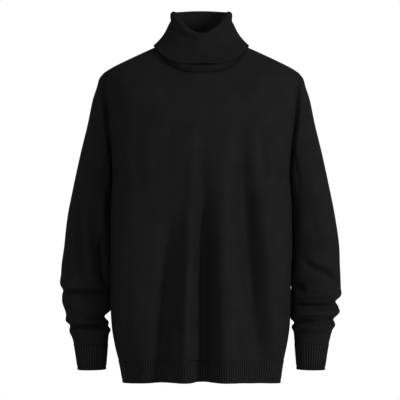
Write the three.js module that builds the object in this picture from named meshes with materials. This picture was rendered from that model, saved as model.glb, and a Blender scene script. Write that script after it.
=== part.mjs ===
// A turtleneck sweater, filled out as it is when worn: front, back, two set-in sleeves,
// a ribbed collar folded over outwards, a ribbed hem and two ribbed cuffs.
// Millimetres, +Z up. The front faces -Y and the wearer's left is on +X. The origin is in the
// middle of the neck, where the shoulder slopes end, which is where the wearer carries it.
import * as THREE from 'three';

// The cloth
const WALL = 2.2; // thickness of the jersey and of the rib between its ridges
const SEAM_GAP = 0.3; // between two pieces where they are sewn
const RIB_RISE = 0.9; // how far a rib's ridge stands out

// How finely the cloth is divided
const PANEL_COLUMNS = 32; // across the front, and across the back
const SIDE_ROWS = 7; // from the hem rib to the armpit
const ARM_ROWS = 10; // from the armpit to the shoulder tip
const SHOULDER_ROWS = 4; // from the shoulder tip to the neck
const HEM_RIB_SHARE = 6; // points of the ribbed hem for each panel column, two for each rib
const COLLAR_RIB_SHARE = 4;
const CUFF_RIB_SHARE = 4;
const EVEN_COLUMNS = 0.17; // brings the columns closer together at the middle of a panel

// Heights on the body
const HEM_BOTTOM = -697;
const HEM_TOP = -651;
const ARMPIT_Z = -268;
const BODY_FULLNESS = 0.035; // how much squarer than an ellipse the body's sections are

// The side seams: half width and place front to back, by height
const SIDE_SEAM = [
  { z: -697, halfWidth: 165, y: 2 },
  { z: -651, halfWidth: 173, y: 2 },
  { z: -618, halfWidth: 180, y: 1 },
  { z: -575, halfWidth: 186, y: 0 },
  { z: -520, halfWidth: 188, y: 0 },
  { z: -340, halfWidth: 188, y: 4 },
  { z: ARMPIT_Z, halfWidth: 184, y: 14 },
];

// The middle of the front and of the back, seen from the side
const FRONT_PROFILE = [
  { z: -705, y: -110 },
  { z: -600, y: -113 },
  { z: -450, y: -113 },
  { z: -350, y: -117 },
  { z: -230, y: -123 },
  { z: -160, y: -119 },
  { z: -100, y: -105 },
  { z: -51, y: -85 },
];
const BACK_PROFILE = [
  { z: -705, y: 112 },
  { z: -600, y: 108 },
  { z: -480, y: 102 },
  { z: -350, y: 109 },
  { z: -230, y: 120 },
  { z: -150, y: 121 },
  { z: -80, y: 111 },
  { z: -30, y: 94 },
  { z: 6, y: 72 },
];
const FRONT_HEM_LIFT = 8; // the front hem's middle sits higher than its sides
const HEM_LIFT_FADE = 260; // height over which that lift dies out

// The armhole is an oval that stands between the shoulder tip and the armpit
const SHOULDER_TIP = { x: 205, z: -47 };
const ARMPIT = { x: 184, z: ARMPIT_Z };
const ARMHOLE = { y: 14, front: 48, back: 52 };

// From the armpit (0) past the shoulder tip (1) to the neck (2): the height where each row
// crosses the middle of the front and of the back, how round it is and how late it rises
const TIP_EASE = 1.7; // how much closer the shoulder's rows come together at its tip
const YOKE = [
  { at: 0, frontZ: -268, backZ: -268, round: 1, rise: 1 },
  { at: 0.244, frontZ: -240, backZ: -232, round: 1, rise: 1 },
  { at: 0.433, frontZ: -194, backZ: -172, round: 0.9, rise: 1 },
  { at: 0.713, frontZ: -132, backZ: -90, round: 0.78, rise: 1.05 },
  { at: 1, frontZ: -102, backZ: -52, round: 0.77, rise: 1.12 },
  { at: 1.66, frontZ: -68, backZ: -12, round: 0.9, rise: 1.5 },
  { at: 2, frontZ: -51, backZ: 6, round: 1, rise: 1.8 },
];

// The shoulder seam, from its tip (0) to the neck (1)
const SHOULDER_SEAM = [
  { at: 0, x: SHOULDER_TIP.x, y: ARMHOLE.y, z: SHOULDER_TIP.z },
  { at: 0.12, x: 191, y: 13, z: -38 },
  { at: 0.5, x: 148, y: 9, z: -17 },
  { at: 1, x: 90, y: 2, z: 9 },
];

// Soft upright folds that fall from the chest and the shoulder blades. Each stands on the line
// from topX at height topZ to hemX at the hem, grows to full size over grow, and is a ridge
// where out is positive and a trough where it is negative.
const LEAST_FOLD = 0.01; // where a fold is lower than this, the panel keeps to its seam lines
const FOLD_EASE = 0.4; // the folds die out over this angle before the side seams
const FRONT_FOLDS = [
  { topX: -62, topZ: -340, hemX: -82, grow: 240, out: -10, spread: 21 },
  { topX: -22, topZ: -290, hemX: -38, grow: 260, out: 9, spread: 16 },
  { topX: 8, topZ: -230, hemX: 8, grow: 280, out: -17, spread: 15 },
  { topX: 34, topZ: -205, hemX: 44, grow: 280, out: 14, spread: 15 },
  { topX: 74, topZ: -190, hemX: 128, grow: 200, out: -9, spread: 17 },
  { topX: 110, topZ: -180, hemX: 158, grow: 160, out: 6, spread: 15 },
];
const BACK_FOLDS = [
  { topX: -96, topZ: -250, hemX: -104, grow: 240, out: -4.5, spread: 18 },
  { topX: -52, topZ: -280, hemX: -60, grow: 260, out: 5.5, spread: 16 },
  { topX: -10, topZ: -230, hemX: -12, grow: 300, out: -6, spread: 15 },
  { topX: 30, topZ: -260, hemX: 34, grow: 280, out: 5.5, spread: 16 },
  { topX: 84, topZ: -220, hemX: 92, grow: 240, out: -4.5, spread: 18 },
];

// Sleeve sections, from the armhole to the cuff's end. Each is an oval between its outer and
// its inner point, with a depth to the front and to the back of midY.
const SLEEVE_SECTIONS = [
  { at: 0, outerX: 205, outerZ: -47, innerX: 184, innerZ: -268, midY: 14, front: 48, back: 52 },
  { at: 1, outerX: 215, outerZ: -60, innerX: 185.1, innerZ: -273, midY: 16, front: 53, back: 56 },
  { at: 2, outerX: 220, outerZ: -77, innerX: 185.1, innerZ: -278, midY: 19, front: 56, back: 58 },
  { at: 3, outerX: 228.5, outerZ: -102, innerX: 185.1, innerZ: -285, midY: 24, front: 59, back: 61 },
  { at: 4, outerX: 240, outerZ: -155, innerX: 185.3, innerZ: -297, midY: 30, front: 61, back: 62 },
  { at: 5, outerX: 256, outerZ: -219, innerX: 185.5, innerZ: -320, midY: 37, front: 61, back: 62 },
  { at: 6, outerX: 271, outerZ: -287, innerX: 185.5, innerZ: -350, midY: 41, front: 60, back: 61 },
  { at: 7, outerX: 284, outerZ: -352, innerX: 184.5, innerZ: -392, midY: 43, front: 58, back: 59 },
  { at: 8, outerX: 293, outerZ: -415, innerX: 183.5, innerZ: -438, midY: 43, front: 56, back: 57 },
  { at: 9, outerX: 297, outerZ: -468, innerX: 184.5, innerZ: -482, midY: 40, front: 53, back: 54 },
  { at: 10, outerX: 294.5, outerZ: -512, innerX: 188, innerZ: -519, midY: 35, front: 49, back: 50 },
  { at: 11, outerX: 284, outerZ: -562, innerX: 193, innerZ: -564, midY: 28, front: 44, back: 45 },
  { at: 12, outerX: 269, outerZ: -618, innerX: 197, innerZ: -618, midY: 20, front: 36, back: 37 },
  { at: 13, outerX: 260, outerZ: -672, innerX: 201, innerZ: -671, midY: 14, front: 30, back: 31 },
];
const CUFF_AT = 12;
const LOOSE_AT = 9; // below this station the sleeve bunches, and its rings are closer together
const RINGS_BY_LOOSE_STATION = 5;
const SLEEVE_FULLNESS = 0.03;

// Where the cloth bunches above the cuff. out is the ridge or the crease's depth at height z on
// the sleeve's middle, tilt is how much higher it is on the outer side, half is its half height,
// and side says how much deeper it is on the outer side (1) or next to the body (-1).
const RIGHT_SLEEVE_FOLDS = [
  { z: -430, out: -3, half: 34, tilt: 20, side: -0.1 },
  { z: -492, out: 3, half: 12, tilt: 2, side: 0 },
  { z: -508, out: -3, half: 7, tilt: 2, side: 0.3 },
  { z: -535, out: 2.5, half: 14, tilt: 3, side: 0 },
  { z: -558, out: -12, half: 9, tilt: 3, side: -0.8 },
  { z: -571, out: 5, half: 10, tilt: 0, side: 0.6 },
  { z: -580, out: -6.5, half: 6, tilt: 2, side: -0.1 },
  { z: -590, out: 6, half: 8, tilt: -4, side: -0.2 },
];
const LEFT_SLEEVE_FOLDS = [
  { z: -440, out: -4, half: 30, tilt: -18, side: -0.1 },
  { z: -492, out: -5, half: 8, tilt: 8, side: -0.6 },
  { z: -517, out: 2.5, half: 9, tilt: 4, side: 0 },
  { z: -539, out: -8, half: 7, tilt: 10, side: 0.5 },
  { z: -550, out: 5, half: 22, tilt: 0, side: -1 },
  { z: -555, out: 6, half: 8, tilt: 4, side: 0.2 },
  { z: -570, out: -4, half: 5, tilt: 4, side: 0 },
  { z: -582, out: 3.5, half: 6, tilt: 2, side: 0 },
];

// The collar: a stand that narrows towards its fold, and the same cloth turned down over it
const COLLAR_FOLD = { halfWidth: 53, frontY: -55, backY: 55, frontZ: 24, sideZ: 73, backZ: 80 };
const COLLAR_LEAN = 1.7; // how much of the narrowing comes low on the stand
const ROLL_GAP = 9.5; // between the two layers at the fold, which is a soft roll
const COLLAR_GAP = 4.5; // between the two layers at the free edge
const ROLL_FADE = 0.8; // share of the turned cloth over which the gap narrows
const COLLAR_FLARE = 3; // how much further the free edge stands off
const STAND_LEVELS = [0, 0.12, 0.3, 0.55, 0.8, 1]; // from the stand's seam to its fold
const FREE_EDGE = { front: 0.23, side: -0.02, back: 0.15 }; // the free edge's level on the stand
const TURNED_SHARES = [0, 0.27, 0.6, 0.84, 1]; // from the fold to the free edge
const FOLD_STEPS = 4; // steps round the inside of the fold, and round its outside

const JERSEY_COLOUR = 0x1b1b1c;
const RIB_COLOUR = 0x191919;

const mix = (a, b, t) => a + (b - a) * t;
const clamp01 = (t) => Math.min(1, Math.max(0, t));
const smooth = (t) => clamp01(t) ** 2 * (3 - 2 * clamp01(t));
const vec = (x, y, z) => new THREE.Vector3(x, y, z);

// A curve through the values of one column that never overshoots them between two rows
function curveThrough(rows, key, column) {
  const at = rows.map((row) => row[key]);
  const value = rows.map((row) => row[column]);
  const slope = at.slice(1).map((t, i) => (value[i + 1] - value[i]) / (t - at[i]));
  const tangent = value.map((_, i) => {
    if (i === 0) return slope[0];
    if (i === value.length - 1) return slope[i - 1];
    if (slope[i - 1] * slope[i] <= 0) return 0;
    const before = at[i] - at[i - 1];
    const after = at[i + 1] - at[i];
    const nearWeight = 2 * after + before;
    const farWeight = after + 2 * before;
    return (nearWeight + farWeight) / (nearWeight / slope[i - 1] + farWeight / slope[i]);
  });
  return (t) => {
    let i = 0;
    while (i < at.length - 2 && t > at[i + 1]) i += 1;
    const step = at[i + 1] - at[i];
    const s = clamp01((t - at[i]) / step);
    const [s2, s3] = [s * s, s * s * s];
    return (
      (2 * s3 - 3 * s2 + 1) * value[i] +
      (s3 - 2 * s2 + s) * step * tangent[i] +
      (3 * s2 - 2 * s3) * value[i + 1] +
      (s3 - s2) * step * tangent[i + 1]
    );
  };
}

// All the columns of a table as curves, read together at one place
function tableReader(rows, key) {
  const columns = Object.keys(rows[0]).filter((column) => column !== key);
  const curves = columns.map((column) => [column, curveThrough(rows, key, column)]);
  return (t) => Object.fromEntries(curves.map(([column, curve]) => [column, curve(t)]));
}

const sideSeam = tableReader(SIDE_SEAM, 'z');
const profileY = {
  front: curveThrough(FRONT_PROFILE, 'z', 'y'),
  back: curveThrough(BACK_PROFILE, 'z', 'y'),
};
const yoke = tableReader(YOKE, 'at');
const shoulderSeam = tableReader(SHOULDER_SEAM, 'at');
const sleeveSection = tableReader(SLEEVE_SECTIONS, 'at');

// The body's rows are numbered by station: -1 hem, 0 top of the hem rib, 1 armpit,
// 2 shoulder tip, 3 neck. A row is given by its edge and by its middle, and reach is how far
// round the body's own section the edge lies: a right angle at the side seam, less at an armhole.
function bodyRow(side, station) {
  if (station <= 1) {
    const z = station < 0 ? mix(HEM_TOP, HEM_BOTTOM, -station) : mix(HEM_TOP, ARMPIT_Z, station);
    const seam = sideSeam(z);
    const fade = 1 - smooth((z - HEM_BOTTOM) / HEM_LIFT_FADE);
    const midZ = z + (side === 'front' ? FRONT_HEM_LIFT * fade : 0);
    return {
      edge: vec(seam.halfWidth, seam.y, z),
      mid: vec(0, profileY[side](midZ), midZ),
      reach: Math.PI / 2,
      round: 1,
      rise: 1,
    };
  }
  const row = yoke(station - 1);
  const midZ = side === 'front' ? row.frontZ : row.backZ;
  const mid = vec(0, profileY[side](midZ), midZ);
  if (station <= 2) {
    const angle = Math.PI * (1 - smooth(station - 1));
    const depth = side === 'front' ? -ARMHOLE.front : ARMHOLE.back;
    const high = (1 + Math.cos(angle)) / 2;
    const edge = vec(
      mix(ARMPIT.x, SHOULDER_TIP.x, high),
      ARMHOLE.y + depth * Math.sin(angle),
      mix(ARMPIT.z, SHOULDER_TIP.z, high),
    );
    const reach = Math.acos((edge.y - ARMHOLE.y) / (mid.y - ARMHOLE.y));
    return { edge, mid, reach, round: row.round, rise: row.rise };
  }
  const seam = shoulderSeam((station - 2) ** TIP_EASE);
  return { edge: vec(seam.x, seam.y, seam.z), mid, reach: Math.PI / 2, round: row.round, rise: row.rise };
}

// A point of the body without its folds. The angle runs from -90 degrees on the wearer's right
// edge through 0 in the middle to 90 degrees on the left edge.
function smoothBodyPoint(side, station, angle) {
  const { edge, mid, reach, round, rise } = bodyRow(side, station);
  const share = angle / (Math.PI / 2);
  const turn = share * reach;
  const full = 1 + BODY_FULLNESS * Math.sin(2 * angle) ** 2;
  const across = mix(share, Math.sin(turn) / Math.sin(reach), round) * full;
  const away = (1 - Math.cos(turn)) / (1 - Math.cos(reach));
  const towardsMid = (1 - mix(share * share, away, round)) * full;
  const up = Math.abs(Math.sin(angle)) ** (2 * rise);
  return vec(edge.x * across, mix(edge.y, mid.y, towardsMid), mix(mid.z, edge.z, up));
}

function foldHeight(folds, x, z) {
  return folds.reduce((sum, fold) => {
    const down = clamp01((fold.topZ - z) / (fold.topZ - HEM_BOTTOM));
    const line = mix(fold.topX, fold.hemX, down);
    const size = smooth((fold.topZ - z) / fold.grow);
    return sum + fold.out * size * Math.exp(-(((x - line) / fold.spread) ** 2));
  }, 0);
}

// A point of the body with its folds
function bodyPoint(side, station, angle) {
  const point = smoothBodyPoint(side, station, angle);
  const ease = smooth((Math.PI / 2 - Math.abs(angle)) / FOLD_EASE);
  const folds = side === 'front' ? FRONT_FOLDS : BACK_FOLDS;
  const height = ease * foldHeight(folds, point.x, point.z);
  if (Math.abs(height) < LEAST_FOLD) return point;
  const turn = 0.02;
  const along = smoothBodyPoint(side, station, angle + turn)
    .sub(smoothBodyPoint(side, station, angle - turn));
  const outward = vec(along.y, -along.x, 0).normalize();
  if (side === 'back') outward.negate();
  return point.addScaledVector(outward, height);
}

function columnAngle(column) {
  const share = -1 + (2 * column) / PANEL_COLUMNS;
  return (Math.PI / 2) * (share - (EVEN_COLUMNS * Math.sin(Math.PI * share)) / Math.PI);
}

// One ring of the body, from the wearer's right edge across the front and back across the back,
// with the given number of points for each panel column
function bodyRing(station, pointsByColumn = 1) {
  const ring = [];
  for (let i = 0; i < 2 * PANEL_COLUMNS * pointsByColumn; i += 1) {
    const along = i / pointsByColumn;
    const side = along < PANEL_COLUMNS ? 'front' : 'back';
    const column = side === 'front' ? along : 2 * PANEL_COLUMNS - along;
    ring.push(bodyPoint(side, station, columnAngle(column)));
  }
  return ring;
}

function sleevePoint(sign, folds, at, angle) {
  const section = sleeveSection(at);
  const full = 1 + SLEEVE_FULLNESS * Math.sin(2 * angle) ** 2 * smooth(at / 4);
  const high = (1 + Math.cos(angle) * full) / 2;
  const depth = Math.sin(angle) > 0 ? -section.front : section.back;
  const point = vec(
    mix(section.innerX, section.outerX, high),
    section.midY + Math.abs(Math.sin(angle)) * depth * full,
    mix(section.innerZ, section.outerZ, high),
  );
  const outer = Math.cos(angle);
  const height = folds.reduce((sum, fold) => {
    const off = (point.z - fold.z - fold.tilt * outer) / fold.half;
    const depthHere = ((1 + fold.side * outer) / (1 + Math.abs(fold.side))) ** 2;
    return sum + fold.out * depthHere * Math.exp(-off * off);
  }, 0);
  const halfWidth = (section.outerX - section.innerX) / 2;
  const outward = vec(outer / halfWidth, -Math.sin(angle) / Math.abs(depth), 0).normalize();
  point.addScaledVector(outward, height);
  point.x *= sign;
  return point;
}

function sleeveRing(sign, folds, at, pointsByRow = 1) {
  const count = 2 * ARM_ROWS * pointsByRow;
  return Array.from({ length: count }, (_, i) => sleevePoint(sign, folds, at, (2 * Math.PI * i) / count));
}

// Adds the direction that each point of a sheet faces to a shared record, so that two pieces
// which meet at a seam get the same direction there and their walls meet squarely
const facing = new Map();
const rounded = (value) => value.toFixed(2).replace('-0.00', '0.00');
const spot = (point) => [point.x, point.y, point.z].map(rounded).join(' ');

function addFacing(rows, closed) {
  const columns = rows[0].length;
  const last = closed ? columns : columns - 1;
  for (let j = 0; j < rows.length - 1; j += 1) {
    for (let i = 0; i < last; i += 1) {
      const next = (i + 1) % columns;
      const corners = [rows[j][i], rows[j][next], rows[j + 1][next], rows[j + 1][i]];
      const across = corners[2].clone().sub(corners[0]);
      const other = corners[3].clone().sub(corners[1]);
      const normal = across.cross(other);
      corners.forEach((corner) => {
        const key = spot(corner);
        if (!facing.has(key)) facing.set(key, vec(0, 0, 0));
        facing.get(key).add(normal);
      });
    }
  }
}

// The same rows moved in by the wall's thickness
function insideOf(rows) {
  return rows.map((row) =>
    row.map((point) => point.clone().addScaledVector(facing.get(spot(point)).clone().normalize(), -WALL)),
  );
}

function stepTowards(point, target, distance) {
  return point.clone().add(target.clone().sub(point).setLength(distance));
}

// Draws the first and last rows back from their seams by half the seam gap
function trimRows(rows) {
  const end = rows.length - 1;
  return rows.map((row, j) => {
    if (j === 0) return row.map((point, i) => stepTowards(point, rows[1][i], SEAM_GAP / 2));
    if (j === end) return row.map((point, i) => stepTowards(point, rows[end - 1][i], SEAM_GAP / 2));
    return row;
  });
}

function trimColumns(rows) {
  return rows.map((row) => {
    const end = row.length - 1;
    return row.map((point, i) => {
      if (i === 0) return stepTowards(point, row[1], SEAM_GAP / 2);
      if (i === end) return stepTowards(point, row[end - 1], SEAM_GAP / 2);
      return point;
    });
  });
}

function solidMesh(name, points, triangles, material) {
  const volume = triangles.reduce(
    (sum, [a, b, c]) => sum + points[a].dot(points[b].clone().cross(points[c])),
    0,
  );
  const index = triangles.flatMap(([a, b, c]) => (volume < 0 ? [a, c, b] : [a, b, c]));
  const geometry = new THREE.BufferGeometry().setFromPoints(points).setIndex(index);
  geometry.computeVertexNormals();
  const mesh = new THREE.Mesh(geometry, material);
  mesh.name = name;
  return mesh;
}

// A panel's wall: its outer rows, its inner rows and the four edges between them
function panelMesh(name, outerRows, innerRows, material) {
  const [rows, columns] = [outerRows.length, outerRows[0].length];
  const last = columns - 1;
  const points = [...outerRows.flat(), ...innerRows.flat()];
  const outer = (j, i) => j * columns + i;
  const inner = (j, i) => (rows + j) * columns + i;
  const triangles = [];
  const quad = (a, b, c, d) => triangles.push([a, b, c], [a, c, d]);
  for (let j = 0; j < rows - 1; j += 1) {
    for (let i = 0; i < columns - 1; i += 1) {
      quad(outer(j, i), outer(j, i + 1), outer(j + 1, i + 1), outer(j + 1, i));
      quad(inner(j, i), inner(j + 1, i), inner(j + 1, i + 1), inner(j, i + 1));
    }
    quad(outer(j, 0), outer(j + 1, 0), inner(j + 1, 0), inner(j, 0));
    quad(outer(j + 1, last), outer(j, last), inner(j, last), inner(j + 1, last));
  }
  for (let i = 0; i < columns - 1; i += 1) {
    quad(outer(0, i + 1), outer(0, i), inner(0, i), inner(0, i + 1));
    quad(outer(rows - 1, i), outer(rows - 1, i + 1), inner(rows - 1, i + 1), inner(rows - 1, i));
  }
  return solidMesh(name, points, triangles, material);
}

// A tube's wall as a loop of rings: up one face and down the other. Where a ring has several
// points for each point of the next, each of those is the corner of a fan.
function tubeMesh(name, rings, material) {
  const start = [];
  let total = 0;
  rings.forEach((ring) => {
    start.push(total);
    total += ring.length;
  });
  const triangles = [];
  rings.forEach((ring, r) => {
    const after = (r + 1) % rings.length;
    const other = rings[after];
    const ringIsFine = ring.length >= other.length;
    const [fine, coarse] = ringIsFine ? [ring, other] : [other, ring];
    const [fineStart, coarseStart] = ringIsFine ? [start[r], start[after]] : [start[after], start[r]];
    const ratio = fine.length / coarse.length;
    const add = (a, b, c) => triangles.push(ringIsFine ? [a, b, c] : [a, c, b]);
    const turn = Math.ceil(ratio / 2);
    coarse.forEach((_, k) => {
      const here = coarseStart + k;
      const next = coarseStart + ((k + 1) % coarse.length);
      for (let step = 0; step < ratio; step += 1) {
        const a = fineStart + k * ratio + step;
        const b = fineStart + ((k * ratio + step + 1) % fine.length);
        add(a, b, step < turn ? here : next);
      }
      add(fineStart + ((k * ratio + turn) % fine.length), next, here);
    });
  });
  return solidMesh(name, rings.flat(), triangles, material);
}

// Every second point of a ring moved out from the ring inside it, as the ridges of a rib
function ribbed(ring, outward) {
  return ring.map((point, i) => (i % 2 ? point.clone().addScaledVector(outward(i), RIB_RISE) : point));
}

// The direction that a closed ring faces at one of its points, level with the ring
function ringFacing(ring, i) {
  const count = ring.length;
  const along = ring[(i + 1) % count].clone().sub(ring[(i - 1 + count) % count]);
  return vec(along.y, -along.x, 0).normalize();
}

const wool = (color) => new THREE.MeshStandardMaterial({ color, roughness: 0.95, metalness: 0 });
const jersey = () => wool(JERSEY_COLOUR);
const rib = () => wool(RIB_COLOUR);

// The stations of the panels' rows, from the hem rib to the neck
const panelStations = [
  ...Array.from({ length: SIDE_ROWS }, (_, j) => j / SIDE_ROWS),
  ...Array.from({ length: ARM_ROWS }, (_, j) => 1.5 - Math.sin(Math.asin(1 - (2 * j) / ARM_ROWS) / 3)),
  ...Array.from({ length: SHOULDER_ROWS + 1 }, (_, j) => 2 + j / SHOULDER_ROWS),
];

function panelRows(side) {
  const columns = Array.from({ length: PANEL_COLUMNS + 1 }, (_, i) => i);
  if (side === 'back') columns.reverse();
  return panelStations.map((station) =>
    columns.map((column) => bodyPoint(side, station, columnAngle(column))),
  );
}

const sleeveStations = [
  ...Array.from({ length: LOOSE_AT }, (_, j) => j),
  ...Array.from(
    { length: (CUFF_AT - LOOSE_AT) * RINGS_BY_LOOSE_STATION + 1 },
    (_, j) => LOOSE_AT + j / RINGS_BY_LOOSE_STATION,
  ),
];

// The wearer's right sleeve is a mirrored left one, so its rings run the other way round
function sleeveRows(sign, folds) {
  return sleeveStations.map((at) => {
    const ring = sleeveRing(sign, folds, at);
    return sign > 0 ? ring : [ring[0], ...ring.slice(1).reverse()];
  });
}

const neckline = bodyRing(3);
const foldFrontZ = (share) => mix(COLLAR_FOLD.frontZ, COLLAR_FOLD.sideZ, share);
const foldBackZ = (share) => mix(COLLAR_FOLD.backZ, COLLAR_FOLD.sideZ, share);

// A ring of the collar's stand, which runs like the body's rings. Its level goes from the seam
// (0) to the fold (1), and may differ with the free edge's level at the middle and with the
// share of the way from there round to the side.
function standRing(levelAt) {
  return neckline.map((base, i) => {
    const isFront = i < PANEL_COLUMNS;
    const angle = columnAngle(isFront ? i : 2 * PANEL_COLUMNS - i);
    const foldY = isFront ? COLLAR_FOLD.frontY : COLLAR_FOLD.backY;
    const share = Math.sin(angle) ** 2;
    const level = levelAt(isFront ? FREE_EDGE.front : FREE_EDGE.back, share);
    const lean = 1 - (1 - level) ** COLLAR_LEAN;
    return vec(
      mix(base.x, COLLAR_FOLD.halfWidth * Math.sin(angle), lean),
      mix(base.y, foldY * Math.cos(angle), lean),
      mix(base.z, isFront ? foldFrontZ(share) : foldBackZ(share), level),
    );
  });
}

function hemMesh() {
  const stations = [-1, 0];
  const coarse = trimRows(stations.map((station) => bodyRing(station)));
  const fine = trimRows(stations.map((station) => bodyRing(station, HEM_RIB_SHARE)));
  const outer = fine.map((ring) => ribbed(ring, (i) => ringFacing(ring, i)));
  const inner = coarse.map((ring) =>
    ring.map((point, i) => point.clone().addScaledVector(ringFacing(ring, i), -WALL)),
  );
  return tubeMesh('hem_rib', [...outer, ...inner.reverse()], rib());
}

function cuffMesh(name, sign, folds) {
  const stations = [CUFF_AT, CUFF_AT + 0.5, CUFF_AT + 1];
  const turned = sign > 0 ? -1 : 1;
  const outward = (ring, i) => ringFacing(ring, i).multiplyScalar(turned);
  const fine = trimRows(stations.map((at) => sleeveRing(sign, folds, at, CUFF_RIB_SHARE)));
  const coarse = trimRows(stations.map((at) => sleeveRing(sign, folds, at)));
  const outer = fine.map((ring) => ribbed(ring, (i) => outward(ring, i)));
  const inner = coarse.map((ring) =>
    ring.map((point, i) => point.clone().addScaledVector(outward(ring, i), -WALL)),
  );
  return tubeMesh(name, [...outer, ...inner.reverse()], rib());
}

function sleeveMesh(name, rows) {
  const outer = trimRows(rows);
  const inner = trimRows(insideOf(rows));
  return tubeMesh(name, [...outer, ...inner.reverse()], jersey());
}

// Between two points of a ring, for the fine rings of the ribbed cloth
function finer(ring, share) {
  return ring.flatMap((point, i) => {
    const next = ring[(i + 1) % ring.length];
    return Array.from({ length: share }, (_, k) => point.clone().lerp(next, k / share));
  });
}

function collarMesh(standRows) {
  const upright = trimRows(standRows)[0];
  const insideRows = insideOf(standRows);
  const [belowFold, fold] = standRows.slice(-2);
  const outwardAt = (i) => facing.get(spot(fold[i])).clone().normalize();
  const upAt = (i) => fold[i].clone().sub(belowFold[i]).normalize();
  const arc = (radius, turn) =>
    fold.map((point, i) => {
      const centre = point.clone().addScaledVector(outwardAt(i), ROLL_GAP / 2);
      return centre
        .addScaledVector(outwardAt(i), -radius * Math.cos(turn))
        .addScaledVector(upAt(i), radius * Math.sin(turn));
    });
  const turned = (down, out) => {
    const ring = standRing((edge, share) => mix(1, mix(edge, FREE_EDGE.side, share), down));
    const gap = mix(ROLL_GAP, COLLAR_GAP, smooth(down / ROLL_FADE));
    const away = gap + COLLAR_FLARE * down ** 2 + out;
    return ring.map((point, i) => {
      const outward = ringFacing(ring, i).lerp(outwardAt(i), 1 - down).normalize();
      return point.clone().addScaledVector(outward, away);
    });
  };
  const turns = Array.from({ length: FOLD_STEPS - 1 }, (_, k) => (Math.PI * (k + 1)) / FOLD_STEPS);
  const shares = TURNED_SHARES.slice(1);
  const hidden = [
    upright,
    ...standRows.slice(1),
    ...turns.map((turn) => arc(ROLL_GAP / 2, turn)),
    ...TURNED_SHARES.map((share) => turned(share, 0)),
  ];
  const shown = shares.reverse().map((share) => {
    const ring = finer(turned(share, WALL), COLLAR_RIB_SHARE);
    return ribbed(ring, (i) => ringFacing(ring, i));
  });
  const overFold = Array.from({ length: FOLD_STEPS + 1 }, (_, k) =>
    arc(ROLL_GAP / 2 + WALL, Math.PI * (1 - k / FOLD_STEPS)),
  );
  const lining = insideRows.slice(1, -1).reverse();
  const foot = trimRows(insideRows)[0];
  return tubeMesh('collar', [...hidden, ...shown, ...overFold, ...lining, foot], rib());
}

const frontRows = panelRows('front');
const backRows = panelRows('back');
const rightSleeveRows = sleeveRows(-1, RIGHT_SLEEVE_FOLDS);
const leftSleeveRows = sleeveRows(1, LEFT_SLEEVE_FOLDS);
const standRows = STAND_LEVELS.map((level) => standRing(() => level));

addFacing(frontRows, false);
addFacing(backRows, false);
addFacing(rightSleeveRows, true);
addFacing(leftSleeveRows, true);
addFacing(standRows, true);

function panel(name, rows) {
  const trim = (sheet) => trimColumns(trimRows(sheet));
  return panelMesh(name, trim(rows), trim(insideOf(rows)), jersey());
}

const sweater = new THREE.Group();
sweater.add(
  panel('front', frontRows),
  panel('back', backRows),
  sleeveMesh('right_sleeve', rightSleeveRows),
  sleeveMesh('left_sleeve', leftSleeveRows),
  collarMesh(standRows),
  hemMesh(),
  cuffMesh('right_cuff', -1, RIGHT_SLEEVE_FOLDS),
  cuffMesh('left_cuff', 1, LEFT_SLEEVE_FOLDS),
);

export default sweater;
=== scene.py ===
"""A black turtleneck sweater in fine knit, filled out as it is when it is worn.

Sizes are in millimetres, in the frame of the solids: the front faces -Y, the wearer's left is +X
and the origin is in the middle of the neck. They become metres where a mesh is made.
"""

import math

import bpy
import numpy as np
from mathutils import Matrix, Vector


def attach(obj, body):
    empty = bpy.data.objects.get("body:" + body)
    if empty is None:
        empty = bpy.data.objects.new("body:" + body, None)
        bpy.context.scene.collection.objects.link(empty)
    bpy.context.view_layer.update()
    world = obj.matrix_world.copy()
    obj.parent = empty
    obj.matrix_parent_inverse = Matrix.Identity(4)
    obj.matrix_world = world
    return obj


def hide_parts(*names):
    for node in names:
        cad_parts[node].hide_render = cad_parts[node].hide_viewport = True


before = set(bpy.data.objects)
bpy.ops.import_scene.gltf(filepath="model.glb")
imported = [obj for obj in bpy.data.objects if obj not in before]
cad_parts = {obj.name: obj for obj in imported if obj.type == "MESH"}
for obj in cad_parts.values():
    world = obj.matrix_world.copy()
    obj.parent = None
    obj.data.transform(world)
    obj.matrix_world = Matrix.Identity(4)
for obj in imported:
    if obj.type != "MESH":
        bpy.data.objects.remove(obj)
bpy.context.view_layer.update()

MM = 0.001
QUARTER = math.pi / 2

# The cloth
WALL = 2.2
SEAM_DIP = 0.3  # how deep the cloth turns in at a seam
SEAM_DIP_REACH = 3.2
SIDE_DIP = 1.6  # times that, added at a panel's side seams and armholes
NECK_DIP = 1.8  # how much further the neck's seam draws the cloth in
NECK_DIP_REACH = 4.5
ARMHOLE_DIP = 6.5  # how far the cloth sinks in towards the armhole's seam, front and back
ARMHOLE_DIP_REACH = 11
EDGE_GROOVE = 0.9  # the groove above the cast-on edge of the hem and the cuffs
EDGE_GROOVE_AT = 5.5
EDGE_GROOVE_REACH = 1.5
RIB_RISE = 1.4
HEM_RIBS = 192
CUFF_RIBS = 40
COLLAR_RIBS = 128
POINTS_BY_RIB = 6

# How finely the meshes are divided
PANEL_COLUMNS = 124
SIDE_ROWS = 92
ARM_ROWS = 60
SHOULDER_ROWS = 30
TIP_ROUND_ROWS = 22  # rows to each side of the shoulder's tip that the cloth is rounded over
TIP_ROUND_ROUNDS = 140
SLEEVE_COLUMNS = 112
ROWS_BY_STATION = 9  # on the sleeve where it is smooth
ROWS_BY_LOOSE_STATION = 30  # and where it is bunched above the cuff
SEAM_SHARES = (0.003, 0.006, 0.010, 0.016)  # extra rows and columns close to a seam

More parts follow.
